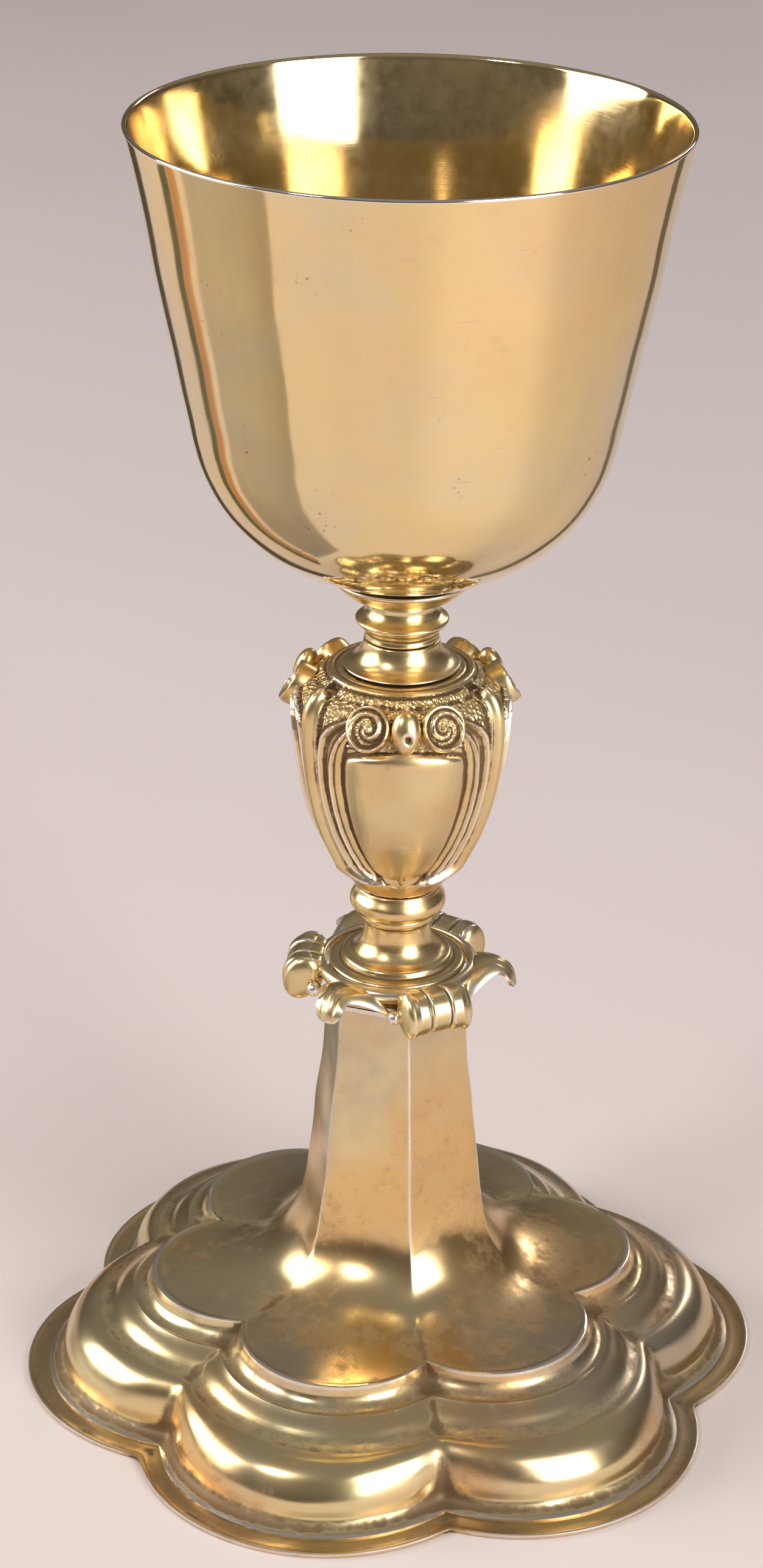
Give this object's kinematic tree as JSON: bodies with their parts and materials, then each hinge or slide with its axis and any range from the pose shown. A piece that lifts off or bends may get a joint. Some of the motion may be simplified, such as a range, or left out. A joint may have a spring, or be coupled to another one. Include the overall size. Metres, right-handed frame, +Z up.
{
  "type": "altar cup",
  "caption": "Footed altar cup: raised bowl, vase-shaped knop and leaf crown held by a tie rod on a six-lobed foot with a hexagonal stem.",
  "frame": {"origin": "centre of the foot, on the surface the cup stands on", "axes": "+Z up along the cup's axis and the tie rod; a lobe of the foot points along +X"},
  "size_m": [0.1376, 0.1284, 0.2365],
  "materials": {
    "gilt_bowl": "polished fire gilding on silver with fine polishing lines and scratches",
    "gilt_cast": "cast and chased silver gilt, worn to silver on its high places and dark in its grooves",
    "gilt_foot": "worn gilding on raised silver with brown tarnish in the hollows",
    "brass_fixing": "plain dull brass"
  },
  "bodies": {
    "foot": {"foot_shell": "gilt_foot", "foot_flange": "gilt_foot", "stem_plate": "gilt_foot", "leaf_crown": "gilt_cast"},
    "lower_spool": {"lower_spool": "gilt_cast"},
    "lower_ring": {"lower_ring": "gilt_cast"},
    "knop": {"knop": "gilt_cast"},
    "upper_spool": {"upper_spool": "gilt_cast"},
    "neck_collar": {"neck_collar": "gilt_cast"},
    "cup": {"bowl": "gilt_bowl", "bowl_saucer": "gilt_bowl", "tie_rod": "brass_fixing"},
    "washer": {"washer": "brass_fixing"},
    "nut": {"nut": "brass_fixing"}
  },
  "joints": [
    {"name": "cup_lift", "type": "slide", "parent": "foot", "child": "cup", "axis": [0, 0, 1], "range_m": [0, 0.1]},
    {"name": "knop_turn", "type": "hinge", "parent": "foot", "child": "knop", "pos_m": [0, 0, 0.12], "axis": [0, 0, 1], "continuous": true},
    {"name": "lower_spool_turn", "type": "hinge", "parent": "foot", "child": "lower_spool", "pos_m": [0, 0, 0.086], "axis": [0, 0, 1], "continuous": true},
    {"name": "lower_ring_turn", "type": "hinge", "parent": "foot", "child": "lower_ring", "pos_m": [0, 0, 0.096], "axis": [0, 0, 1], "continuous": true},
    {"name": "upper_spool_turn", "type": "hinge", "parent": "foot", "child": "upper_spool", "pos_m": [0, 0, 0.143], "axis": [0, 0, 1], "continuous": true},
    {"name": "neck_collar_turn", "type": "hinge", "parent": "foot", "child": "neck_collar", "pos_m": [0, 0, 0.149], "axis": [0, 0, 1], "continuous": true},
    {"name": "washer_drop", "type": "slide", "parent": "foot", "child": "washer", "axis": [0, 0, -1], "range_m": [0, 0.0141]},
    {"name": "nut_turn", "type": "hinge", "parent": "washer", "child": "nut", "pos_m": [0, 0, 0.073], "axis": [0, 0, -1], "range_deg": [0, 5040]}
  ],
  "couplings": [
    {"joint": "washer_drop", "follows": "nut_turn", "m_per_rad": 0.00015915}
  ]
}
